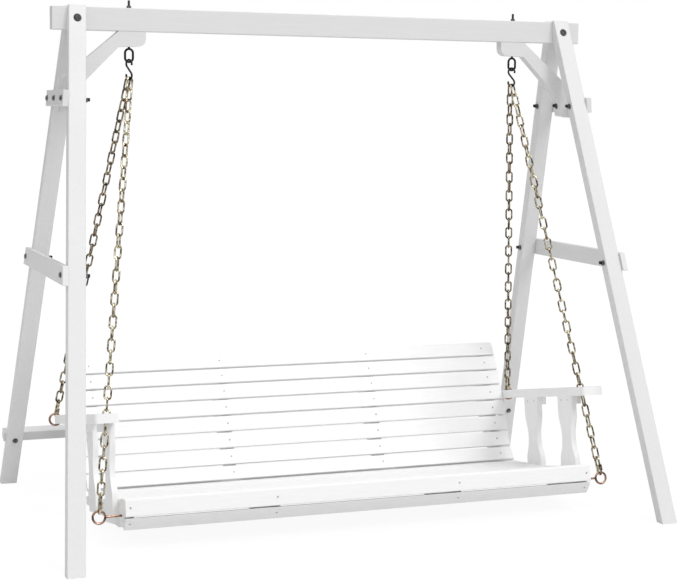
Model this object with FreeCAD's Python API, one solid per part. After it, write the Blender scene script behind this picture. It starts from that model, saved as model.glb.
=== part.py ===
import FreeCAD, Part
import math
import os
from FreeCAD import Placement, Rotation, Vector

# A garden swing: a slatted bench hung by chains from an A-frame stand.
# X runs along the beam, Y to the back, Z up; the origin is on the ground below the middle of the beam.

# Stand
stand_height = 1810.0
beam_length = 2030.0
beam_height = 80.0
beam_thick = 45.0
leg_width = 60.0
leg_depth = 40.0
beam_overhang = 85.0
leg_splay = 145.0
leg_foot_front = 690.0
leg_top_land = 15.0
leg_top_rise = 5.0
brace_thick = 20.0
collar_height = 56.0
collar_drop = 290.0
collar_overhang = 5.0
mid_brace_height = 64.0
mid_brace_top = 945.0
mid_brace_overhang = 10.0
knee_thick = 40.0
knee_nose_inset = 56.0
knee_nose_depth = 52.0
knee_nose_run = 96.0
knee_elbow_out = 3.0
knee_elbow_drop = 205.0
knee_toe_drop = 20.0
knee_toe_width = 44.0
knee_heel_drop = 168.0
knee_shoulder_inset = 147.0
stretcher_depth = 40.0
stretcher_height = 38.0
stretcher_centre_z = 191.0
stretcher_overhang = 8.0
timber_round = 3.0
board_round = 2.0

# Fasteners of the stand
beam_bolt_radius = 5.0
frame_bolt_radius = 4.0
hole_clearance = 0.2
nut_clearance = 0.05
washer_thick = 2.0
head_ratio = 1.75
head_height_ratio = 1.05
nut_height_ratio = 1.6
washer_ratio = 2.6
bolt_end = 8.0
beam_bolt_pocket = 8.0

# Beam eyes and hooks
eye_inset = 187.0
eye_wire = 8.0
eye_ring_width = 36.0
eye_ring_height = 53.0
eye_ring_bottom = 189.0
eye_thread_rise = 27.0
hook_wire = 7.0
hook_bend_radius = 14.0
hook_pitch = 41.0
hook_turn = -60.0
hook_tip_angle = 20.0
eye_gap = 0.6
hang_gap = 0.3

# Chains
chain_wire = 6.5
chain_inner_width = 15.5
chain_pitch = 40.0
quick_wire = 8.0
quick_inner_width = 16.0
quick_inner_length = 58.0
quick_opening = 9.0
sleeve_across = 13.0
sleeve_bore_gap = 0.1
sleeve_length = 21.0
sleeve_end_gap = 3.0
sleeve_cover = 5.0

# Bench, drawn level with its top of seat at zero height and then hung at its tilt
seat_tilt = 10.7
seat_shift_y = 19.5
seat_lift = 94.0
seat_half = 868.0
slat_thick = 20.0
slat_width = 58.0
slat_round = 4.0
seat_front = -494.0
seat_slat_count = 9
seat_slat_gap = 8.0
seat_dish = 14.0
back_foot_y = 122.0
back_foot_z = 5.0
back_slat_gap = 6.0
back_leans = (32.0, 13.0, 10.5, 11.0, 14.5, 18.0, 21.0, 25.0)
apron_drop = 3.0
apron_gap = 5.0
apron_turn = 43.0
rail_thick = 33.0
rail_front_depth = 100.0
rail_rear_depth = 48.0
rail_rear_y = 158.0
post_thick = 38.0
post_foot_front = 123.0
post_bend_rear = 228.0
post_arm_rear = 312.0
post_top_depth = 36.0
mid_post_x = 305.0
arm_under = 251.0
arm_thick = 32.0
arm_gap = 2.0
arm_width = 84.0
arm_setback = 23.0
arm_length = 735.0
arm_corner_round = 12.0
arm_tongue_width = 20.0
arm_hole_radius = 24.0
baluster_thick = 20.0
baluster_top = 55.0
baluster_neck = 39.0
baluster_foot = 58.0
front_baluster_back = 143.0
rear_baluster_back = 421.0
cleat_width = 20.0
cleat_height = 30.0
cleat_length = 112.0

# Fasteners of the bench
seat_eye_wire = 8.0
seat_eye_radius = 21.0
seat_eye_out = 77.0
front_eye_setback = 64.0
front_eye_z = -58.0
rear_eye_gap = 34.0
eye_grip = 30.0
screw_head_radius = 3.8
screw_head_height = 2.5
screw_shank_radius = 2.0
screw_length = 42.0
screw_sink = 0.6
baluster_screw_length = 34.0
baluster_screw_spread = 27.0

# Values worked out from the sizes above
leg_top_x = beam_length / 2 - beam_overhang
leg_foot_x = leg_top_x + leg_splay
eye_x = leg_top_x - eye_inset
arm_inner = seat_half + arm_gap
arm_outer = arm_inner + arm_width
arm_front = seat_front + arm_setback
arm_rear = arm_front + arm_length
arm_mid = arm_under + arm_thick / 2
seat_eye_x = seat_half + seat_eye_out
front_eye_y = seat_front + front_eye_setback
rear_eye_y = arm_rear + rear_eye_gap
rear_eye_z = arm_mid
front_baluster_y = arm_front + front_baluster_back
rear_baluster_y = arm_front + rear_baluster_back
beam_bottom = stand_height - beam_height
leg_top_y = beam_thick / 2 + leg_top_land
lean = math.atan((leg_foot_front - leg_top_y) / stand_height)
splay = math.atan(leg_splay / stand_height)
leg_span_y = leg_depth / math.cos(lean)
trim = 120.0
pivot_z = stand_height - eye_ring_bottom + eye_wire / 2
hook_top_z = pivot_z + eye_wire / 2 + hook_wire / 2 + eye_gap
hook_upper_z = hook_top_z - hook_bend_radius
hook_lower_z = hook_upper_z - hook_pitch
back_pitch = slat_width + back_slat_gap
seat_pitch = slat_width + seat_slat_gap
post_outer = seat_half - rail_thick


def save(name, shapes):
    """One file for each sub-part, holding one solid or a group of separate solids."""
    shape = shapes if not isinstance(shapes, list) else Part.makeCompound(shapes)
    shape.exportStep("parts/" + name + ".step")
    solids = shape.Solids
    print(name, len(solids), round(sum(s.Volume for s in solids)), all(s.isValid() for s in solids))


def board(points, low_x, high_x):
    """A board of the given outline in Y and Z, between two places on X."""
    outline = [Vector(low_x, y, z) for y, z in points]
    face = Part.Face(Part.makePolygon(outline + [outline[0]]))
    return face.extrude(Vector(high_x - low_x, 0, 0))


def plate(points, half_y):
    """A plate of the given outline in X and Z, centred on Y."""
    outline = [Vector(x, -half_y, z) for x, z in points]
    face = Part.Face(Part.makePolygon(outline + [outline[0]]))
    return face.extrude(Vector(0, 2 * half_y, 0))


def box(low, high):
    size = [high[k] - low[k] for k in range(3)]
    return Part.makeBox(size[0], size[1], size[2], Vector(*low))


def rounded(shape, radius, shortest):
    """The same solid with its straight edges of at least the given length rounded."""
    edges = [e for e in shape.Edges if e.Length >= shortest and isinstance(e.Curve, Part.Line)]
    return shape.makeFillet(radius, edges) if edges else shape


def mirrored(shape):
    return shape.mirror(Vector(0, 0, 0), Vector(1, 0, 0))


def rod(radius, start, end):
    start, end = Vector(*start), Vector(*end)
    return Part.makeCylinder(radius, (end - start).Length, start, end - start)


def hexagon(across, start, end):
    """A hexagonal bar between two points."""
    start, end = Vector(*start), Vector(*end)
    corner = across / 2 / math.cos(math.radians(30))
    turns = [math.radians(60 * k) for k in range(7)]
    ring = [Vector(corner * math.cos(a), corner * math.sin(a), 0) for a in turns]
    bar = Part.Face(Part.makePolygon(ring)).extrude(Vector(0, 0, (end - start).Length))
    bar.Placement = Placement(start, Rotation(Vector(0, 0, 1), end - start))
    return bar


def along(start, direction, distance):
    return tuple(start[k] + direction[k] * distance for k in range(3))


def through_bolt(radius, start, direction, grip):
    """Bolt, two washers and nut on one axis; start is on the face under the head's washer."""
    head_height = head_height_ratio * radius
    nut_height = nut_height_ratio * radius
    head = hexagon(2 * head_ratio * radius, along(start, direction, -washer_thick - head_height),
                   along(start, direction, -washer_thick))
    tip = along(start, direction, grip + washer_thick + nut_height + bolt_end)
    bolt = head.fuse(rod(radius, along(start, direction, -washer_thick), tip)).removeSplitter()
    bore = rod(radius + nut_clearance, along(start, direction, -trim), along(start, direction, grip + trim))
    washers = [rod(washer_ratio * radius, along(start, direction, a), along(start, direction, a + washer_thick))
               .cut(bore) for a in (-washer_thick, grip)]
    nut_start = along(start, direction, grip + washer_thick)
    nut = hexagon(2 * head_ratio * radius, nut_start, along(nut_start, direction, nut_height)).cut(bore)
    hole = rod(radius + hole_clearance, along(start, direction, -1), along(start, direction, grip + 1))
    return {"bolt": bolt, "nut": nut, "washers": washers, "hole": hole}


def out_to_splay(shape):
    """Carries a shape drawn on an upright side frame at X = 0 to the splayed right side."""
    shape = shape.copy()
    shape.rotate(Vector(0, 0, stand_height), Vector(0, 1, 0), -math.degrees(splay))
    shape.translate(Vector(leg_top_x, 0, 0))
    return shape


def splay_point(out, y, z):
    """A point of the upright side frame, carried to the splayed right side."""
    drop = stand_height - z
    x = leg_top_x + out * math.cos(splay) + drop * math.sin(splay)
    return x, y, stand_height - drop * math.cos(splay) + out * math.sin(splay)


def leg_front(z):
    """How far in front of the beam's middle the front leg's front face is at a height."""
    return leg_top_y + math.tan(lean) * (stand_height - z)


# Beam
beam = box((-beam_length / 2, -beam_thick / 2, beam_bottom), (beam_length / 2, beam_thick / 2, stand_height))
beam = rounded(beam, timber_round, beam_thick / 2)

# Legs of the right side
leg_ends = (stand_height + trim, -trim)
leg_outline = [(-leg_front(z), z) for z in leg_ends] + [(leg_span_y - leg_front(z), z) for z in leg_ends[::-1]]
leg = out_to_splay(rounded(board(leg_outline, -leg_width / 2, leg_width / 2), timber_round, stand_height / 2))
reach = 2 * leg_foot_x
leg = leg.common(box((0, -reach, 0), (reach, reach, stand_height + leg_top_rise)))
leg = leg.cut(box((0, -beam_thick / 2, beam_bottom), (reach, reach, stand_height + trim)))
leg_right_front = leg
leg_right_rear = leg.mirror(Vector(0, 0, 0), Vector(0, 1, 0))

# Cross braces of the right side, on the legs' outer faces
collar_top = stand_height - collar_drop
collar_bottom = collar_top - collar_height
collar_end = leg_front((collar_top + collar_bottom) / 2) + collar_overhang
collar = box((leg_width / 2, -collar_end, collar_bottom),
             (leg_width / 2 + brace_thick, collar_end, collar_top))
collar = out_to_splay(rounded(collar, board_round, brace_thick))
mid_bottom = mid_brace_top - mid_brace_height
mid_outline = [(-leg_front(mid_brace_top) - mid_brace_overhang, mid_brace_top),
               (leg_front(mid_brace_top) + mid_brace_overhang, mid_brace_top),
               (leg_front(mid_bottom) + mid_brace_overhang, mid_bottom),
               (-leg_front(mid_bottom) - mid_brace_overhang, mid_bottom)]
mid_brace = board(mid_outline, leg_width / 2, leg_width / 2 + brace_thick)
mid_brace = out_to_splay(rounded(mid_brace, board_round, brace_thick))

# Knee brace of the right side, from under the beam to the collar's inner face
toe_z = collar_bottom - knee_toe_drop
toe_out = splay_point(leg_width / 2, 0, toe_z)
toe_in = splay_point(leg_width / 2 - knee_toe_width, 0, toe_z + knee_toe_drop / 2)
heel = splay_point(leg_width / 2, 0, beam_bottom - knee_heel_drop)
nose_x, nose_z = eye_x - knee_nose_inset, beam_bottom - knee_nose_depth
nose_bend = knee_nose_depth / 2
curve = [(nose_x + nose_bend * (1 - math.cos(math.radians(a))), nose_z + nose_bend * (1 - math.sin(math.radians(a))))
         for a in (0, 30, 60, 90)]
knee_outline = [(nose_x, beam_bottom)] + curve + [
    (nose_x + knee_nose_run, nose_z - board_round), (leg_top_x + knee_elbow_out, beam_bottom - knee_elbow_drop),
    (toe_in[0], toe_in[2]), (toe_out[0], toe_out[2]), (heel[0], heel[2]),
    (leg_top_x - knee_shoulder_inset, beam_bottom)]
knee = plate(knee_outline, knee_thick / 2)

# Through bolts of the right side
beam_bolt_z = stand_height - beam_height / 2
pocket_y = leg_front(beam_bolt_z) - beam_bolt_pocket
beam_bolt_x = splay_point(0, 0, beam_bolt_z)[0]
bolts = [through_bolt(beam_bolt_radius, (beam_bolt_x, -pocket_y, beam_bolt_z), (0, 1, 0), 2 * pocket_y)]
pockets = rod((washer_ratio + 0.2) * beam_bolt_radius, (beam_bolt_x, -pocket_y - trim, beam_bolt_z),
              (beam_bolt_x, -pocket_y, beam_bolt_z))
inward = (-math.cos(splay), 0, -math.sin(splay))


def brace_bolt(y, z, grip):
    start = splay_point(leg_width / 2 + brace_thick, y, z)
    return through_bolt(frame_bolt_radius, start, inward, grip)


collar_mid = (collar_top + collar_bottom) / 2
mid_mid = (mid_brace_top + mid_bottom) / 2
leg_grip = brace_thick + leg_width
collar_leg_y = leg_front(collar_mid) - leg_span_y / 2
mid_leg_y = leg_front(mid_mid) - leg_span_y / 2
leg_bolts = [brace_bolt(side * y, z, leg_grip) for side in (-1, 1)
             for y, z in ((collar_leg_y, collar_mid), (mid_leg_y, mid_mid))]
knee_bolt = brace_bolt(0, collar_mid, brace_thick + knee_toe_width)
bolts += leg_bolts + [knee_bolt]
inner_face = splay_point(leg_width / 2 - knee_toe_width, 0, collar_mid)
spot_face = rod(washer_ratio * frame_bolt_radius + 1, inner_face, along(inner_face, inward, trim))
knee = knee.cut(spot_face)

# Rear stretcher across both sides, let in behind the rear legs
face_y = leg_front(stretcher_centre_z)
down = (math.sin(lean), -math.cos(lean))
out = (math.cos(lean), math.sin(lean))
corners = [(-1, -board_round), (1, -board_round), (1, stretcher_depth), (-1, stretcher_depth)]
stretcher_outline = [(face_y + a * stretcher_height / 2 * down[0] + b * out[0],
                      stretcher_centre_z + a * stretcher_height / 2 * down[1] + b * out[1]) for a, b in corners]
stretcher_end_x = splay_point(leg_width / 2, 0, stretcher_centre_z)[0] + stretcher_overhang
stretcher = rounded(board(stretcher_outline, -stretcher_end_x, stretcher_end_x), board_round, leg_foot_x)
stretcher = stretcher.cut(leg_right_rear).cut(mirrored(leg_right_rear))
stretcher_direction = (0, out[0], out[1])
leg_centre = splay_point(0, face_y, stretcher_centre_z)
stretcher_start = along(leg_centre, stretcher_direction, -leg_depth)
bolts.append(through_bolt(frame_bolt_radius, stretcher_start, stretcher_direction, leg_depth + stretcher_depth))
seat_of_head = rod(washer_ratio * frame_bolt_radius + 1, along(stretcher_start, stretcher_direction, -trim),
                   stretcher_start)

# Eye bolt, hanging from a nut on the beam through the knee brace
eye_top = stand_height - eye_ring_bottom + eye_ring_height
ring_bend = (eye_ring_width - eye_wire) / 2
ring_low = stand_height - eye_ring_bottom + eye_wire / 2 + ring_bend
ring_high = eye_top - eye_wire / 2 - ring_bend


def oval_link(wire, bend, half_straight):
    """A closed link of round wire in the XZ plane: two half rings joined by two straight legs."""
    top = Part.makeTorus(bend, wire / 2, Vector(0, 0, half_straight), Vector(0, 1, 0))
    low = Part.makeTorus(bend, wire / 2, Vector(0, 0, -half_straight), Vector(0, 1, 0))
    span = bend + wire
    top = top.common(box((-span, -wire, half_straight), (span, wire, half_straight + span)))
    low = low.common(box((-span, -wire, -half_straight - span), (span, wire, -half_straight)))
    legs = [rod(wire / 2, (x, 0, -half_straight), (x, 0, half_straight)) for x in (-bend, bend)]
    return top.fuse([low] + legs).removeSplitter()


eye_ring = oval_link(eye_wire, ring_bend, (ring_high - ring_low) / 2)
eye_ring.translate(Vector(eye_x, 0, (ring_high + ring_low) / 2))
shank = rod(eye_wire / 2, (eye_x, 0, eye_top - eye_wire / 2), (eye_x, 0, stand_height + eye_thread_rise))
eye_bolt = eye_ring.fuse(shank).removeSplitter()
eye_hole = rod(eye_wire / 2 + hole_clearance, (eye_x, 0, eye_top), (eye_x, 0, stand_height + 1))
eye_bore = rod(eye_wire / 2 + nut_clearance, (eye_x, 0, eye_top - trim), (eye_x, 0, stand_height + trim))
eye_washer = rod(washer_ratio * eye_wire / 2, (eye_x, 0, stand_height),
                 (eye_x, 0, stand_height + washer_thick)).cut(eye_bore)
eye_nut_top = stand_height + washer_thick + nut_height_ratio * eye_wire / 2
eye_nut = hexagon(head_ratio * eye_wire, (eye_x, 0, stand_height + washer_thick),
                  (eye_x, 0, eye_nut_top)).cut(eye_bore)

# Holes of the stand, then its sub-parts
holes = [b["hole"] for b in bolts]
beam = beam.cut([holes[0], mirrored(holes[0]), eye_hole, mirrored(eye_hole)])
leg_right_front = leg_right_front.cut(holes + [pockets])
leg_right_rear = leg_right_rear.cut(holes + [pockets.mirror(Vector(0, 0, 0), Vector(0, 1, 0)), seat_of_head])
collar = collar.cut(holes)
mid_brace = mid_brace.cut(holes)
knee = knee.cut(holes + [eye_hole])
stretcher = stretcher.cut([holes[-1], mirrored(holes[-1])])

os.makedirs("parts", exist_ok=True)
save("top_beam", beam)
for name, shape in (("leg_{}_front", leg_right_front), ("leg_{}_rear", leg_right_rear), ("collar_{}", collar),
                    ("mid_brace_{}", mid_brace), ("knee_brace_{}", knee), ("eye_bolt_{}", eye_bolt)):
    save(name.format("right"), shape)
    save(name.format("left"), mirrored(shape))
save("rear_stretcher", stretcher)
right_bolts = [b["bolt"] for b in bolts]
right_nuts = [b["nut"] for b in bolts] + [eye_nut]
right_washers = [w for b in bolts for w in b["washers"]] + [eye_washer]
for name, shapes in (("frame_bolts", right_bolts), ("frame_nuts", right_nuts), ("frame_washers", right_washers)):
    save(name, shapes + [mirrored(s) for s in shapes])


# Bench, in its level frame
def hang(shape):
    """Tilts a level piece of the bench back and carries it to where it hangs."""
    shape = shape.copy()
    shape.rotate(Vector(0, 0, 0), Vector(1, 0, 0), -seat_tilt)
    shape.translate(Vector(0, seat_shift_y, seat_lift))
    return shape


def hung_point(x, y, z):
    angle = math.radians(seat_tilt)
    return Vector(x, seat_shift_y + y * math.cos(angle) + z * math.sin(angle),
                  seat_lift - y * math.sin(angle) + z * math.cos(angle))


def level_point(point):
    angle = math.radians(seat_tilt)
    y, z = point.y - seat_shift_y, point.z - seat_lift
    return Vector(point.x, y * math.cos(angle) - z * math.sin(angle), y * math.sin(angle) + z * math.cos(angle))


def seat_height(y):
    """Height of the dished seat line at a depth: lowest half way between its front and its back edge."""
    share = (y - seat_front - slat_thick) / (seat_slat_count * seat_pitch)
    return -seat_dish * math.sin(math.pi * min(max(share, 0.0), 1.0))


def direction(start, end):
    length = math.dist(start, end)
    return (end[0] - start[0]) / length, (end[1] - start[1]) / length


def slat(start, end, gap):
    """A slat whose face lies on the line from start to end; the line runs with the slat's back to its right."""
    run = direction(start, end)
    back = (run[1], -run[0])
    low = [start[k] + run[k] * gap / 2 for k in range(2)]
    high = [low[k] + run[k] * slat_width for k in range(2)]
    outline = [low, high, [high[k] + back[k] * slat_thick for k in range(2)],
               [low[k] + back[k] * slat_thick for k in range(2)]]
    solid = rounded(board(outline, -seat_half, seat_half), slat_round, seat_half)
    middle = [(low[k] + high[k]) / 2 for k in range(2)]
    return {"solid": solid, "middle": middle, "back": back,
            "behind": (outline[3], outline[2])}


seat_start = seat_front + slat_thick
seat_nodes = [(seat_start + k * seat_pitch, seat_height(seat_start + k * seat_pitch))
              for k in range(seat_slat_count + 1)]
seat_slats = [slat(a, b, seat_slat_gap) for a, b in zip(seat_nodes, seat_nodes[1:])]
back_nodes = [(back_foot_y, back_foot_z)]
for lean_back in back_leans:
    y, z = back_nodes[-1]
    turn = math.radians(lean_back)
    back_nodes.append((y + back_pitch * math.sin(turn), z + back_pitch * math.cos(turn)))
back_slats = [slat(a, b, back_slat_gap) for a, b in zip(back_nodes, back_nodes[1:])]
apron_bottom = -apron_drop - slat_width
apron_foot = (seat_front, apron_bottom - apron_gap / 2)
apron = slat(apron_foot, (seat_front, -apron_drop), apron_gap)
tuck = math.radians(apron_turn)
tuck_foot = (apron_foot[0] + (slat_width + apron_gap) * math.sin(tuck),
             apron_foot[1] - (slat_width + apron_gap) * math.cos(tuck))
tuck_slat = slat(tuck_foot, apron_foot, apron_gap)
over_tuck = box((-seat_half - 1, seat_front - slat_thick, apron_bottom - apron_gap),
                (seat_half + 1, seat_front + slat_width, 0))
tuck_slat["solid"] = tuck_slat["solid"].cut(over_tuck)

# Seat rails under the slats, back posts behind them
under_seat = [p for s in seat_slats for p in s["behind"]]
rail_front = seat_front + slat_thick
tuck_low, tuck_high = tuck_slat["behind"]
tuck_share = (rail_front - tuck_low[0]) / (tuck_high[0] - tuck_low[0])
rail_corner = (rail_front, tuck_low[1] + (tuck_high[1] - tuck_low[1]) * tuck_share)
rail_outline = [rail_corner, (rail_front, under_seat[0][1])] + under_seat
rail_outline += [(rail_rear_y, under_seat[-1][1]), (rail_rear_y, -rail_rear_depth),
                 (tuck_low[0] + slat_width, -rail_front_depth), tuck_low]
behind_back = [p for s in back_slats for p in s["behind"]]
top_y, top_z = behind_back[-1]
post_outline = [(post_foot_front, -rail_rear_depth), (post_foot_front, under_seat[-1][1])] + behind_back
post_outline += [(top_y + post_top_depth, top_z - post_top_depth / 2),
                 (post_arm_rear + arm_thick / 2, arm_mid + 2 * arm_thick), (post_arm_rear, arm_mid - arm_thick),
                 (post_bend_rear, back_foot_z + slat_width), (rail_rear_y, -rail_rear_depth)]


def rails_at(inner):
    return board(rail_outline, inner, inner + rail_thick)


def post_at(inner):
    return board(post_outline, inner, inner + post_thick)


end_rail = rails_at(post_outer)
end_post = post_at(post_outer - post_thick)
middle_rail = rails_at(mid_post_x + post_thick / 2)
middle_post = post_at(mid_post_x - post_thick / 2)

# Front chain line and the hole that it needs in the armrest
hook_direction = Vector(math.cos(math.radians(hook_turn)), math.sin(math.radians(hook_turn)), 0)
link_reach = hook_wire / 2 + chain_wire / 2 + hang_gap
eye_reach = seat_eye_wire / 2 + quick_wire / 2 + hang_gap


def square_to(vector, axis):
    return (vector - axis * vector.dot(axis)).normalize()


def ring_centre(side, front):
    y, z = (front_eye_y, front_eye_z) if front else (rear_eye_y, rear_eye_z)
    return hung_point(side * seat_eye_x, y, z)


def chain_ends(side, front):
    """Centres of a chain's two end wires: in the hook's lower bend, and under the crown of the bench's eye."""
    bend = Vector(side * eye_x, 0, hook_lower_z)
    low = bend - Vector(0, 0, hook_bend_radius)
    pulls = [(low - ring_centre(side, f)).normalize() for f in (True, False)]
    closing = link_reach * (pulls[1] - pulls[0]).dot(hook_direction)
    spread = (chain_wire + hang_gap + closing) / 2
    depth = math.sqrt(hook_bend_radius ** 2 - spread ** 2)
    pull = pulls[0] if front else pulls[1]
    seat = bend + hook_direction * (spread if front else -spread) - Vector(0, 0, depth)
    ring_normal = hung_point(0, 1, 0) - hung_point(0, 0, 0)
    crown = square_to(pull, ring_normal) * seat_eye_radius
    return seat + pull * link_reach, ring_centre(side, front) + crown - pull * eye_reach


arm_level = [level_point(p) for p in chain_ends(1, True)]
arm_share = (arm_level[0].z - arm_mid) / (arm_level[0].z - arm_level[1].z)
arm_hole = arm_level[0] + (arm_level[1] - arm_level[0]) * arm_share

# Armrest with its tongue to the back post, balusters and cleats, right side
arm = box((arm_inner, arm_front, arm_under), (arm_outer, arm_rear, arm_under + arm_thick))
corners_up = [e for e in arm.Edges if abs(e.Length - arm_thick) < 0.01]
arm = arm.makeFillet(arm_corner_round, corners_up)
tongue = box((post_outer, arm_rear - arm_tongue_width, arm_under),
             (arm_inner + 2 * arm_corner_round, arm_rear, arm_under + arm_thick))
arm = arm.fuse(tongue).removeSplitter()
arm = arm.cut(Part.makeCylinder(arm_hole_radius, arm_thick + 2, Vector(arm_hole.x, arm_hole.y, arm_under - 1)))


def baluster(centre, foot_z):
    """A shaped board on the rail's outer face: wide head, drawn-in neck and flared foot."""
    levels = [(arm_under, baluster_top), (arm_under - slat_width, baluster_top),
              (arm_under * 0.5, baluster_neck), (arm_under * 0.22, baluster_neck + 3),
              (0, baluster_foot), (foot_z, baluster_foot)]
    edges = []
    for side in (-1, 1):
        points = [Vector(seat_half, centre + side * half, z) for z, half in levels]
        spline = Part.BSplineCurve()
        spline.interpolate(points[1:5], InitialTangent=Vector(0, 0, -1), FinalTangent=Vector(0, 0, -1))
        edges += [Part.makeLine(points[0], points[1]), spline.toShape(), Part.makeLine(points[4], points[5])]
    ends = [Vector(seat_half, centre - side * half, z) for z, half in (levels[0], levels[-1]) for side in (1, -1)]
    edges += [Part.makeLine(ends[0], ends[1]), Part.makeLine(ends[2], ends[3])]
    wire = Part.Wire(Part.__sortEdges__(edges))
    return Part.Face(wire).extrude(Vector(baluster_thick, 0, 0))


def rail_bottom(y):
    share = (y - seat_front) / (rail_rear_y - seat_front)
    return -rail_front_depth + (rail_front_depth - rail_rear_depth) * share


balusters = [baluster(y, rail_bottom(y)) for y in (front_baluster_y, rear_baluster_y)]
cleat_x = seat_half + baluster_thick
cleats = [rounded(box((cleat_x, y - cleat_length / 2, arm_under - cleat_height),
                      (cleat_x + cleat_width, y + cleat_length / 2, arm_under)), board_round, cleat_height)
          for y in (front_baluster_y, rear_baluster_y)]

# Eyes that take the chains on the bench's right side
def seat_eye(y, z, face_x):
    ring = Part.makeTorus(seat_eye_radius, seat_eye_wire / 2, Vector(seat_eye_x, y, z), Vector(0, 1, 0))
    stem = rod(seat_eye_wire / 2, (face_x - eye_grip, y, z), (seat_eye_x - seat_eye_radius, y, z))
    return ring.fuse(stem).removeSplitter()


def eye_socket(y, z, face_x):
    return rod(seat_eye_wire / 2 + hole_clearance, (face_x - eye_grip - 1, y, z), (face_x + 1, y, z))


seat_eyes = [seat_eye(front_eye_y, front_eye_z, seat_half), seat_eye(rear_eye_y, rear_eye_z, post_outer)]
end_rail = end_rail.cut(eye_socket(front_eye_y, front_eye_z, seat_half))
end_post = end_post.cut(eye_socket(rear_eye_y, rear_eye_z, post_outer))

# Countersunk screws: one through each slat at each support, two through each baluster into its cleat
rail_centres = (post_outer + rail_thick / 2, mid_post_x + post_thick / 2 + rail_thick / 2)
post_centres = (post_outer - post_thick / 2, mid_post_x)
screws = []


def screwed(solid, faces, back, length):
    """Bores a board for a screw at each face point and adds the screws; returns the bored board and the bores."""
    bores = []
    for face in faces:
        top = along(face, back, screw_sink)
        neck = along(top, back, screw_head_height)
        tip = along(top, back, length)
        head = Part.makeCone(screw_head_radius, screw_shank_radius, screw_head_height, Vector(*top), Vector(*back))
        screws.append(head.fuse(rod(screw_shank_radius, neck, tip)).removeSplitter())
        bores.append(rod(screw_head_radius + hole_clearance, face, top))
        bores.append(Part.makeCone(screw_head_radius + hole_clearance, screw_shank_radius + hole_clearance,
                                   screw_head_height, Vector(*top), Vector(*back)))
        bores.append(rod(screw_shank_radius + hole_clearance, top, along(tip, back, 1)))
    return solid.cut(bores), bores


rail_bores, post_bores = [], []
for name, group, centres, taken in (("seat_slat_{}", seat_slats, rail_centres, rail_bores),
                                    ("back_slat_{}", back_slats, post_centres, post_bores),
                                    ("apron_slat_{}", [apron, tuck_slat], rail_centres, rail_bores)):
    for number, piece in enumerate(group, 1):
        y, z = piece["middle"]
        solid, bores = screwed(piece["solid"], [(s * c, y, z) for c in centres for s in (-1, 1)],
                               (0, piece["back"][0], piece["back"][1]), screw_length)
        taken += bores
        save(name.format(number), hang(solid))

slat_screw_count = len(screws)
for k, y in enumerate((front_baluster_y, rear_baluster_y)):
    faces = [(seat_half, y + s * baluster_screw_spread, arm_under - cleat_height / 2) for s in (-1, 1)]
    balusters[k], bores = screwed(balusters[k], faces, (1, 0, 0), baluster_screw_length)
    cleats[k] = cleats[k].cut(bores)
screws += [mirrored(s) for s in screws[slat_screw_count:]]

end_rail, end_post = end_rail.cut(rail_bores), end_post.cut(post_bores)
middle_rail, middle_post = middle_rail.cut(rail_bores), middle_post.cut(post_bores)
for name, shapes in (("seat_rail_{}", [end_rail]), ("back_post_{}", [end_post]), ("armrest_{}", [arm]),
                     ("balusters_{}", balusters)):
    for side, turned in (("right", shapes), ("left", [mirrored(s) for s in shapes])):
        turned = [hang(s) for s in turned]
        save(name.format(side), turned[0] if len(turned) == 1 else turned)
for name, shapes in (("seat_rails_middle", [middle_rail]), ("back_posts_middle", [middle_post]),
                     ("arm_cleats", cleats), ("seat_eyes", seat_eyes)):
    save(name, [hang(s) for s in shapes + [mirrored(s) for s in shapes]])
save("slat_screws", [hang(s) for s in screws])


# Hooks
def hook():
    """An S of round wire: two open bends joined by a slanting leg, drawn in the XZ plane at X = 0."""
    slant = math.asin(2 * hook_bend_radius / hook_pitch)
    upper, lower = Vector(0, 0, hook_upper_z), Vector(0, 0, hook_lower_z)

    def rim(centre, degrees):
        a = math.radians(degrees)
        return centre + Vector(hook_bend_radius * math.cos(a), 0, hook_bend_radius * math.sin(a))

    leave = 180 + math.degrees(slant)
    upper_arc = Part.Arc(rim(upper, -hook_tip_angle), rim(upper, (leave - hook_tip_angle) / 2), rim(upper, leave))
    lower_arc = Part.Arc(rim(lower, leave - 180), rim(lower, (leave - 360 - hook_tip_angle) / 2),
                         rim(lower, -180 - hook_tip_angle))
    leg_line = Part.makeLine(rim(upper, leave), rim(lower, leave - 180))
    path = Part.Wire([upper_arc.toShape(), leg_line, lower_arc.toShape()])
    start = path.Edges[0]
    first = rim(upper, -hook_tip_angle)
    tangent = start.tangentAt(start.FirstParameter)
    return path.makePipe(Part.Face(Part.Wire([Part.makeCircle(hook_wire / 2, first, tangent)])))


s_hook = hook()
s_hook.rotate(Vector(0, 0, 0), Vector(0, 0, 1), hook_turn)
hooks = []
for side in (-1, 1):
    one = s_hook.copy()
    one.translate(Vector(side * eye_x, 0, 0))
    hooks.append(one)
save("s_hooks", hooks)

# Chains: links turned a quarter turn each, with the little twist that brings the last one square to its eye
quick_bend = (quick_inner_width + quick_wire) / 2
quick_straight = (quick_inner_length - quick_inner_width) / 2
link_bend = (chain_inner_width + chain_wire) / 2


def placed(shape, centre, axis, normal):
    """Puts a link drawn in the XZ plane at a centre, its length along the axis, its face square to the normal."""
    side = normal.cross(axis)
    matrix = FreeCAD.Matrix(side.x, normal.x, axis.x, centre.x, side.y, normal.y, axis.y, centre.y,
                            side.z, normal.z, axis.z, centre.z, 0, 0, 0, 1)
    solid = shape.copy()
    solid.Placement = Placement(matrix)
    return solid


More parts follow.
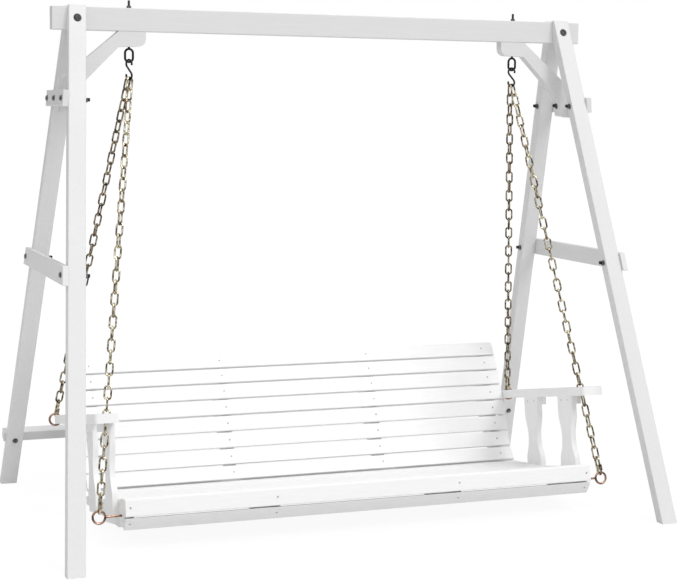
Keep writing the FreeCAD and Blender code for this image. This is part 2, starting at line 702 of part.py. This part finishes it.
def chain(side, front):
    top, foot = chain_ends(side, front)
    axis = (top - foot).normalize()
    quick_centre = foot + axis * (quick_straight + quick_bend)
    quick_normal = square_to(Vector(1, 0, 0), axis)
    last = foot + axis * (2 * (quick_straight + quick_bend) - quick_wire / 2 - chain_wire / 2 - hang_gap)
    span = (top - last).Length
    count = round((span - chain_wire) / chain_pitch)
    inner = (span - chain_wire + hang_gap * (count - 1)) / count
    link = oval_link(chain_wire, link_bend, (inner - chain_inner_width) / 2)
    first_normal = square_to(hook_direction, axis)
    second = axis.cross(first_normal)
    aim = math.degrees(math.atan2(quick_normal.dot(second), quick_normal.dot(first_normal))) + 90
    plain = 90 * (count - 1)
    twist = (aim - plain + 90) % 180 - 90
    links = []
    for k in range(count):
        angle = math.radians(90 * k + twist * k / (count - 1))
        normal = first_normal * math.cos(angle) + second * math.sin(angle)
        centre = top - axis * ((inner + chain_wire) / 2 + k * (inner - hang_gap))
        links.append(placed(link, centre, axis, normal))
    print("chain", side, front, "links", count, "inner", round(inner, 2), "twist", round(twist, 1))
    sleeve_low = sleeve_end_gap - quick_straight
    opening_low = sleeve_low + sleeve_cover
    quick = oval_link(quick_wire, quick_bend, quick_straight)
    quick = quick.cut(box((quick_bend - quick_wire, -quick_wire, opening_low),
                          (quick_bend + quick_wire, quick_wire, opening_low + quick_opening)))
    sleeve = hexagon(sleeve_across, (quick_bend, 0, sleeve_low), (quick_bend, 0, sleeve_low + sleeve_length))
    sleeve = sleeve.cut(rod(quick_wire / 2 + sleeve_bore_gap, (quick_bend, 0, -quick_inner_length),
                            (quick_bend, 0, quick_inner_length)))
    return {"links": links, "quick": placed(quick, quick_centre, axis, quick_normal),
            "sleeve": placed(sleeve, quick_centre, axis, quick_normal), "axis": axis, "centre": quick_centre}


quick_links = []
for side, hand in ((-1, "left"), (1, "right")):
    for front, place in ((True, "front"), (False, "rear")):
        parts = chain(side, front)
        save("chain_{}_{}".format(hand, place), parts["links"])
        save("link_sleeve_{}_{}".format(hand, place), parts["sleeve"])
        quick_links.append(parts["quick"])
        print("sleeve axis", hand, place, [round(v, 5) for v in parts["axis"]], [round(v, 3) for v in parts["centre"]])
save("quick_links", quick_links)
print("arm hole", [round(v, 2) for v in arm_hole])
print("pivot height", pivot_z, "hook centres", hook_upper_z, hook_lower_z)
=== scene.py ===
import math
import bpy
import numpy as np
from mathutils import Matrix, Vector


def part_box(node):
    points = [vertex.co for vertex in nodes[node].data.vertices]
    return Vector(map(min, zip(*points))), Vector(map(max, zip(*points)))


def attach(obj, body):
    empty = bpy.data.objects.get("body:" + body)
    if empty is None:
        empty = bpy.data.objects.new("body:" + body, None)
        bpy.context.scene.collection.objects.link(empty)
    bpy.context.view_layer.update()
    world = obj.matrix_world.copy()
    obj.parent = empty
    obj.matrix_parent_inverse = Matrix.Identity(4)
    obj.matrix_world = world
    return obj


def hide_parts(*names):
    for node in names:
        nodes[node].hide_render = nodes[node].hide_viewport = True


# A white slatted garden bench hung by yellowish chains from a white timber A-frame, on a white ground.

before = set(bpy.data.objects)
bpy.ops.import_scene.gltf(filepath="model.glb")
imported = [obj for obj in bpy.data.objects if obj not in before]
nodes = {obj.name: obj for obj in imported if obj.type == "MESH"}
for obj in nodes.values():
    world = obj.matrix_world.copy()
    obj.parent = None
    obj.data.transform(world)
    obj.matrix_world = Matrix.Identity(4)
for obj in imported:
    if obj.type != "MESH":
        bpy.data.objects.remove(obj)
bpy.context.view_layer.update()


class Sock:
    """Wraps a shader socket so that shader maths reads as plain arithmetic."""

    def __init__(self, tree, socket):
        self.tree, self.socket = tree, socket

    def _math(self, operation, *values, clamp=False):
        node = self.tree.nodes.new("ShaderNodeMath")
        node.operation, node.use_clamp = operation, clamp
        for slot, value in zip(node.inputs, (self,) + values):
            feed(self.tree, slot, value)
        return Sock(self.tree, node.outputs[0])

    def __add__(self, other): return self._math("ADD", other)
    def __sub__(self, other): return self._math("SUBTRACT", other)
    def __mul__(self, other): return self._math("MULTIPLY", other)
    def __truediv__(self, other): return self._math("DIVIDE", other)
    def __radd__(self, other): return self._math("ADD", other)
    def clamp(self): return self._math("ADD", 0.0, clamp=True)


def feed(tree, slot, value):
    if isinstance(value, Sock):
        tree.links.new(value.socket, slot)
    else:
        slot.default_value = value


class Mat:
    """A material with one Principled shader, and short ways to add texture nodes to it."""

    def __init__(self, name):
        self.material = bpy.data.materials.new(name)
        self.material.use_nodes = True
        self.tree = self.material.node_tree
        self.bsdf = self.tree.nodes["Principled BSDF"]

    def node(self, kind, output=0, **values):
        """Adds any node; capitalised or spaced names are sockets, the others are settings."""
        node = self.tree.nodes.new(kind)
        for key, value in values.items():
            name = key.replace("_", " ")
            if key[0].isupper():
                feed(self.tree, node.inputs[name], value)
            else:
                setattr(node, key, value)
        return Sock(self.tree, node.outputs[output])

    def set(self, **values):
        for key, value in values.items():
            feed(self.tree, self.bsdf.inputs[key.replace("_", " ")], value)

    def coords(self, scale=(1, 1, 1)):
        where = self.node("ShaderNodeTexCoord", "Object")
        return self.node("ShaderNodeMapping", "Vector", Vector=where, Scale=scale)

    def noise(self, scale, stretch=(1, 1, 1), detail=4.0, rough=0.5, distortion=0.0):
        return self.node("ShaderNodeTexNoise", "Fac", Vector=self.coords(stretch), Scale=scale, Detail=detail,
                         Roughness=rough, Distortion=distortion)

    def mix(self, share, low, high):
        return self.node("ShaderNodeMix", 2, data_type="RGBA", Factor=share, A=low, B=high)

    def bump(self, height, strength, distance):
        return self.node("ShaderNodeBump", "Normal", Height=height, Strength=strength, Distance=distance)


def painted(name, tint, shade, direction, shift, rough=0.42):
    """White paint brushed along a board: faint grain and soft brush marks."""
    m = Mat(name)
    along = {"x": (0.35, 9.0, 9.0), "y": (9.0, 0.35, 9.0), "z": (9.0, 9.0, 0.35)}[direction]
    grain = m.noise(26.0, along, detail=8.0, rough=0.62, distortion=0.3)
    fine = m.noise(95.0 + shift, along, detail=5.0, rough=0.6)
    cloud = m.noise(5.5 + shift, (1, 1, 1), detail=3.0)
    streak = ((grain - 0.5) * 5.0 + 0.35).clamp()
    m.set(Base_Color=m.mix(streak * 0.38 + cloud * 0.20, tint, shade))
    m.set(Roughness=rough + (cloud - 0.5) * 0.16 + (fine - 0.5) * 0.10)
    m.set(Normal=m.bump(grain * 0.6 + fine * 0.4, 0.09, 0.0009))
    m.set(IOR=1.47)
    return m.material


def metal(name, low, high, rough, scale, metallic=1.0, bump=0.2):
    """Plated or blackened metal with cloudy colour and small pits."""
    m = Mat(name)
    cloud = m.noise(scale, detail=5.0, rough=0.6)
    pits = m.noise(scale * 9.0, detail=3.0)
    m.set(Base_Color=m.mix(((cloud - 0.5) * 3.0 + 0.5).clamp(), low, high), Metallic=metallic)
    m.set(Roughness=rough + (pits - 0.5) * 0.22)
    m.set(Normal=m.bump(pits, bump, 0.0004))
    return m.material


def plated_chain(name, low, high, grime_and_shade):
    """Yellow passivated zinc: straw-coloured patches on dark bronze, partly the zinc's own patchy colour and partly
    painted highlight and painted dark edges, with rosy spots and dark marks that are partly handling dirt and partly
    painted shade.
    """
    m = Mat(name)
    # Straw over dark bronze: partly the zinc's own patchiness, partly painted highlight and painted dark contour.
    cloud = ((m.noise(70.0, detail=4.0) - 0.5) * 5.5 + 0.5).clamp()
    patch = ((m.noise(95.0, detail=3.0) - 0.5) * 4.0 + 0.4).clamp()
    # Random dark marks, partly handling dirt and partly painted shade; the last argument sets how far they darken the
    # zinc.
    dirt_and_shade = ((m.noise(160.0, detail=5.0, rough=0.7) - 0.53) * 6.0).clamp()
    tinted = m.mix(patch * 0.30, m.mix(cloud, low, high), (0.42, 0.26, 0.20, 1))
    m.set(Base_Color=m.mix(dirt_and_shade * grime_and_shade, tinted, (0.03, 0.024, 0.017, 1)), Metallic=1.0)
    m.set(Roughness=0.22 + dirt_and_shade * 0.25 + (patch - 0.5) * 0.08)
    m.set(Normal=m.bump(cloud * 0.5 + dirt_and_shade * 0.5, 0.25, 0.0004))
    return m.material


STAND_TINT, STAND_SHADE = (0.765, 0.765, 0.765, 1), (0.71, 0.71, 0.714, 1)
BENCH_TINT, BENCH_SHADE = (0.93, 0.93, 0.93, 1), (0.86, 0.862, 0.868, 1)
stand_paint = {d: painted("stand_paint_" + d, STAND_TINT, STAND_SHADE, d, 0.0) for d in "xyz"}
bench_paint = [painted("bench_paint_%d" % k, tuple(c * t for c in BENCH_TINT[:3]) + (1,), BENCH_SHADE, "x", 3.7 * k)
               for k, t in enumerate((1.0, 0.985, 0.993))]
bench_side = {d: painted("bench_side_" + d, BENCH_TINT, BENCH_SHADE, d, 1.3) for d in "xyz"}
black = metal("blackened_steel", (0.012, 0.012, 0.014, 1), (0.045, 0.045, 0.05, 1), 0.34, 60.0, metallic=0.75)
bolt_steel = metal("bolt_steel", (0.09, 0.09, 0.095, 1), (0.30, 0.30, 0.31, 1), 0.32, 90.0, metallic=0.9)
copper = metal("copper_wire", (0.10, 0.05, 0.035, 1), (0.66, 0.42, 0.32, 1), 0.22, 70.0)
screw_zinc = metal("screw_zinc", (0.42, 0.42, 0.43, 1), (0.60, 0.60, 0.62, 1), 0.45, 220.0, metallic=0.35)
# The rear chains use a darker copy of the front chains' zinc: painted shade, since they are the same chain in less
# light.
front_zinc = plated_chain("chain_zinc_front", (0.12, 0.09, 0.04, 1), (0.92, 0.87, 0.66, 1), 0.92)
shaded_rear_zinc = plated_chain("chain_zinc_rear_painted_shade", (0.03, 0.023, 0.014, 1), (0.46, 0.41, 0.29, 1), 0.96)

BY_START = [("top_beam", stand_paint["x"]), ("rear_stretcher", stand_paint["x"]), ("leg_", stand_paint["z"]),
            ("collar_", stand_paint["y"]), ("mid_brace_", stand_paint["y"]), ("knee_brace_", stand_paint["x"]),
            ("frame_", bolt_steel), ("eye_bolt", black), ("s_hooks", black), ("chain_left_rear", shaded_rear_zinc),
            ("chain_right_rear", shaded_rear_zinc), ("chain_", front_zinc), ("quick_", front_zinc),
            ("link_sleeve", front_zinc), ("seat_eyes", copper), ("slat_screws", screw_zinc),
            ("seat_rail", bench_side["y"]), ("back_post", bench_side["z"]), ("balusters", bench_side["z"]),
            ("armrest", bench_side["y"]), ("arm_cleats", bench_side["y"])]
for name, piece in nodes.items():
    if name.startswith(("seat_slat", "back_slat", "apron_slat")):
        chosen = bench_paint[(int(name[-1]) * 2 + len(name)) % 3]
    else:
        chosen = next(material for start, material in BY_START if name.startswith(start))
    for slot in piece.material_slots:
        slot.material = chosen


def islands(piece):
    """The separate solids of a CAD node, each as an array of its points."""
    mesh = piece.data
    points = np.empty(len(mesh.vertices) * 3)
    mesh.vertices.foreach_get("co", points)
    points = points.reshape(-1, 3)
    ends = np.empty(len(mesh.edges) * 2, dtype=int)
    mesh.edges.foreach_get("vertices", ends)
    _, same = np.unique(np.round(points * 1e5).astype(np.int64), axis=0, return_inverse=True)
    ends = same.ravel()[ends.reshape(-1, 2)]
    label = np.arange(same.max() + 1)
    while True:
        lowest = label.copy()
        np.minimum.at(lowest, ends[:, 0], label[ends[:, 1]])
        np.minimum.at(lowest, ends[:, 1], label[ends[:, 0]])
        lowest = lowest[lowest]
        if np.array_equal(lowest, label):
            break
        label = lowest
    own = label[same.ravel()]
    return [points[own == k] for k in np.unique(own)]


def long_axis(points):
    """Middle, unit long axis from head to tip, and the two ends along it; the head is the end that is wider."""
    middle = (points.min(axis=0) + points.max(axis=0)) / 2
    axis = np.linalg.svd(points - points.mean(axis=0), full_matrices=False)[2][0]
    run = (points - middle) @ axis
    wide = [np.linalg.norm(np.cross(points[abs(run - e) < 1e-4] - middle, axis), axis=1).max()
            for e in (run.min(), run.max())]
    if wide[1] > wide[0]:
        axis, run = -axis, -run
    return middle, axis, run.min(), run.max()


def frame_round(axis):
    side = np.cross(axis, (0.0, 1.0, 0.0) if abs(axis[1]) < 0.9 else (1.0, 0.0, 0.0))
    side /= np.linalg.norm(side)
    return side, np.cross(axis, side)


def grid_faces(rings, turns, first):
    """Quads of a closed tube of rings, with a fan point at each end."""
    faces = []
    for i in range(rings - 1):
        for j in range(turns):
            a, b = first + i * turns + j, first + i * turns + (j + 1) % turns
            faces.append((a, b, b + turns, a + turns))
    low, high = first + rings * turns, first + rings * turns + 1
    last = first + (rings - 1) * turns
    faces += [(low, first + (j + 1) % turns, first + j) for j in range(turns)]
    faces += [(high, last + j, last + (j + 1) % turns) for j in range(turns)]
    return faces


def build(name, parts, material, body):
    """One mesh object of several closed tubes, each given as (rings, turns, 3) points and its two end points."""
    points, faces = [], []
    for rings, ends in parts:
        faces += grid_faces(rings.shape[0], rings.shape[1], sum(len(p) for p in points))
        points += [rings.reshape(-1, 3), np.array(ends)]
    mesh = bpy.data.meshes.new(name)
    mesh.from_pydata(np.concatenate(points).tolist(), [], faces)
    mesh.polygons.foreach_set("use_smooth", [True] * len(mesh.polygons))
    mesh.materials.append(material)
    piece = bpy.data.objects.new(name, mesh)
    bpy.context.scene.collection.objects.link(piece)
    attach(piece, body)
    return piece


def thread(base, axis, length, radius, pitch=0.00125, depth=0.0003, turns=28):
    """Screw thread: radius(a, t) = r + depth * tri(t / pitch - a / 2 pi), drawn in to the core over its last pitch."""
    side, up = frame_round(axis)
    t = np.linspace(0.0, length, max(8, int(length / pitch * 9)))
    a = np.linspace(0.0, 2 * np.pi, turns, endpoint=False)
    phase = t[:, None] / pitch - a[None, :] / (2 * np.pi)
    ridge = np.abs((phase % 1.0) * 2.0 - 1.0)
    taper = np.clip((length - t) / pitch, 0.0, 1.0)[:, None]
    r = radius + depth * (ridge - 0.35) * taper - 0.0006 * (1 - taper)
    rings = (base + t[:, None, None] * axis
             + r[..., None] * (np.cos(a)[:, None] * side + np.sin(a)[:, None] * up))
    return rings, [base, base + axis * length]


BOLT_THREAD = 0.0082        # from just inside the nut to the end of the bolt, in metres
EYE_BOLT_THREAD = 0.0195    # from inside the beam's nut to the end of the eye bolt
EYE_BOLT_RADIUS = 0.0041
OVERRUN = 0.0002            # by which a thread covers the flat end of its bolt

threads = []
for points in islands(nodes["frame_bolts"]):
    middle, axis, head, tip = long_axis(points)
    core = points[abs((points - middle) @ axis - tip) < 1e-4]
    radius = np.linalg.norm(np.cross(core - middle, axis), axis=1).max()
    threads.append(thread(middle + axis * (tip - BOLT_THREAD), axis, BOLT_THREAD + OVERRUN, radius + 0.0001))
for name in ("eye_bolt_left", "eye_bolt_right"):
    low, high = (np.array(v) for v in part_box(name))
    top = np.array([(low[0] + high[0]) / 2, 0.0, high[2]])
    threads.append(thread(top - (0, 0, EYE_BOLT_THREAD), np.array([0.0, 0.0, 1.0]), EYE_BOLT_THREAD,
                          EYE_BOLT_RADIUS))
build("bolt_threads", threads, black, "stand")


def recessed_head(points, turns=48):
    """A countersunk head with a cross recess: depth(x, y) = d * max of two crossed smooth bars, on rings of a disc."""
    middle, axis, head, _ = long_axis(points)
    side, up = frame_round(axis)
    a = np.linspace(0.0, 2 * np.pi, turns, endpoint=False)
    radii = np.array([0.02, 0.2, 0.4, 0.6, 0.8, 1.0, 1.3, 1.6, 1.9, 2.2, 2.5, 3.0, 3.45, 3.72, 3.8]) * 1e-3
    x, y = radii[:, None] * np.cos(a), radii[:, None] * np.sin(a)

    def bar(across, on):
        return np.clip((0.00062 - abs(across)) / 0.00025, 0, 1) * np.clip((0.0023 - abs(on)) / 0.0005, 0, 1)
    recess = 0.0011 * np.maximum(bar(x, y), bar(y, x))
    crown = 0.00022 * (radii[:, None] / 0.0038) ** 4
    top = middle + axis * head
    face = top + (recess + crown)[..., None] * axis + x[..., None] * side + y[..., None] * up
    below = [(3.8, 0.35), (1.9, 2.5), (1.9, 12.0)]
    skirt = np.array([top + axis * d * 1e-3 + r * 1e-3 * (np.cos(a)[:, None] * side + np.sin(a)[:, None] * up)
                      for r, d in below])
    rings = np.concatenate([face, skirt])
    return rings, [top + axis * 0.0011, top + axis * 0.0120]


screws = build("cross_head_screws", [recessed_head(p) for p in islands(nodes["slat_screws"])], screw_zinc,
               "bench")
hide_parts("slat_screws")


# Ground, light and camera
def ground():
    """A pale floor, white to the eye, on which the stand leaves only faint shade."""
    mesh = bpy.data.meshes.new("ground")
    mesh.from_pydata([(-60, -60, 0), (60, -60, 0), (60, 60, 0), (-60, 60, 0)], [], [(0, 1, 2, 3)])
    piece = bpy.data.objects.new("ground", mesh)
    bpy.context.scene.collection.objects.link(piece)
    m = Mat("ground_white")
    seen = m.node("ShaderNodeLightPath", "Is Camera Ray")
    glow = m.tree.nodes.new("ShaderNodeEmission")
    glow.inputs["Color"].default_value = (1, 1, 1, 1)
    glow.inputs["Strength"].default_value = 1.055
    mixer = m.tree.nodes.new("ShaderNodeMixShader")
    m.set(Base_Color=(0.72, 0.72, 0.72, 1), Roughness=0.9)
    feed(m.tree, mixer.inputs[0], seen * 0.88)
    m.tree.links.new(m.bsdf.outputs[0], mixer.inputs[1])
    m.tree.links.new(glow.outputs[0], mixer.inputs[2])
    m.tree.links.new(mixer.outputs[0], m.tree.nodes["Material Output"].inputs[0])
    mesh.materials.append(m.material)


def sky(level, horizon, brow):
    """White to the camera, even light to matt surfaces; polished ones see it dark below horizon, bright above brow."""
    world = bpy.data.worlds.new("white_studio")
    world.use_nodes = True
    bpy.context.scene.world = world
    tree = world.node_tree
    background = tree.nodes["Background"]
    background.inputs["Color"].default_value = (1, 1, 1, 1)
    background.inputs["Strength"].default_value = level
    plain = tree.nodes.new("ShaderNodeBackground")
    plain.inputs["Color"].default_value = (1, 1, 1, 1)
    plain.inputs["Strength"].default_value = 1.0
    mixer = tree.nodes.new("ShaderNodeMixShader")
    path = tree.nodes.new("ShaderNodeLightPath")
    where = tree.nodes.new("ShaderNodeTexCoord")
    split = tree.nodes.new("ShaderNodeSeparateXYZ")
    tree.links.new(where.outputs["Generated"], split.inputs[0])
    rise = Sock(tree, split.outputs["Z"])
    top = ((rise - horizon) / (brow - horizon)).clamp()
    mirrored = tree.nodes.new("ShaderNodeBackground")
    mirrored.inputs["Color"].default_value = (1, 1, 1, 1)
    feed(tree, mirrored.inputs["Strength"], top * 1.45 + 0.02)
    shine = tree.nodes.new("ShaderNodeMixShader")
    tree.links.new(path.outputs["Is Glossy Ray"], shine.inputs[0])
    tree.links.new(background.outputs[0], shine.inputs[1])
    tree.links.new(mirrored.outputs[0], shine.inputs[2])
    tree.links.new(path.outputs["Is Camera Ray"], mixer.inputs[0])
    tree.links.new(shine.outputs[0], mixer.inputs[1])
    tree.links.new(plain.outputs[0], mixer.inputs[2])
    tree.links.new(mixer.outputs[0], tree.nodes["World Output"].inputs[0])


def sun(name, towards, strength, softness):
    light = bpy.data.lights.new(name, "SUN")
    light.energy, light.angle = strength, math.radians(softness)
    lamp = bpy.data.objects.new(name, light)
    lamp.rotation_euler = Vector(towards).to_track_quat("-Z", "Y").to_euler()
    bpy.context.scene.collection.objects.link(lamp)


def camera(place, yaw, pitch, roll, focal_px, width_px=679):
    """Looks along +Y, turned by yaw to +X, tipped down by pitch and rolled, all in degrees."""
    yaw, pitch, roll = (math.radians(v) for v in (yaw, pitch, roll))
    ahead = Vector((math.sin(yaw) * math.cos(pitch), math.cos(yaw) * math.cos(pitch), -math.sin(pitch)))
    right = Vector((math.cos(yaw), -math.sin(yaw), 0.0))
    up = right.cross(ahead)
    right, up = right * math.cos(roll) + up * math.sin(roll), up * math.cos(roll) - right * math.sin(roll)
    data = bpy.data.cameras.new("camera")
    data.sensor_width, data.lens = 36.0, 36.0 * focal_px / width_px
    data.clip_end = 200.0
    eye = bpy.data.objects.new("camera", data)
    eye.matrix_world = Matrix((right, up, -ahead)).transposed().to_4x4()
    eye.location = place
    bpy.context.scene.collection.objects.link(eye)
    bpy.context.scene.camera = eye


ground()
sky(0.74, 0.12, 0.62)
sun("key", (-0.30, 0.62, -0.72), 1.2, 25.0)
camera((-2.0273, -5.5364, 1.4723), 20.587, 6.477, 0.683, 1598.4)
bpy.context.scene.view_settings.view_transform = "Standard"
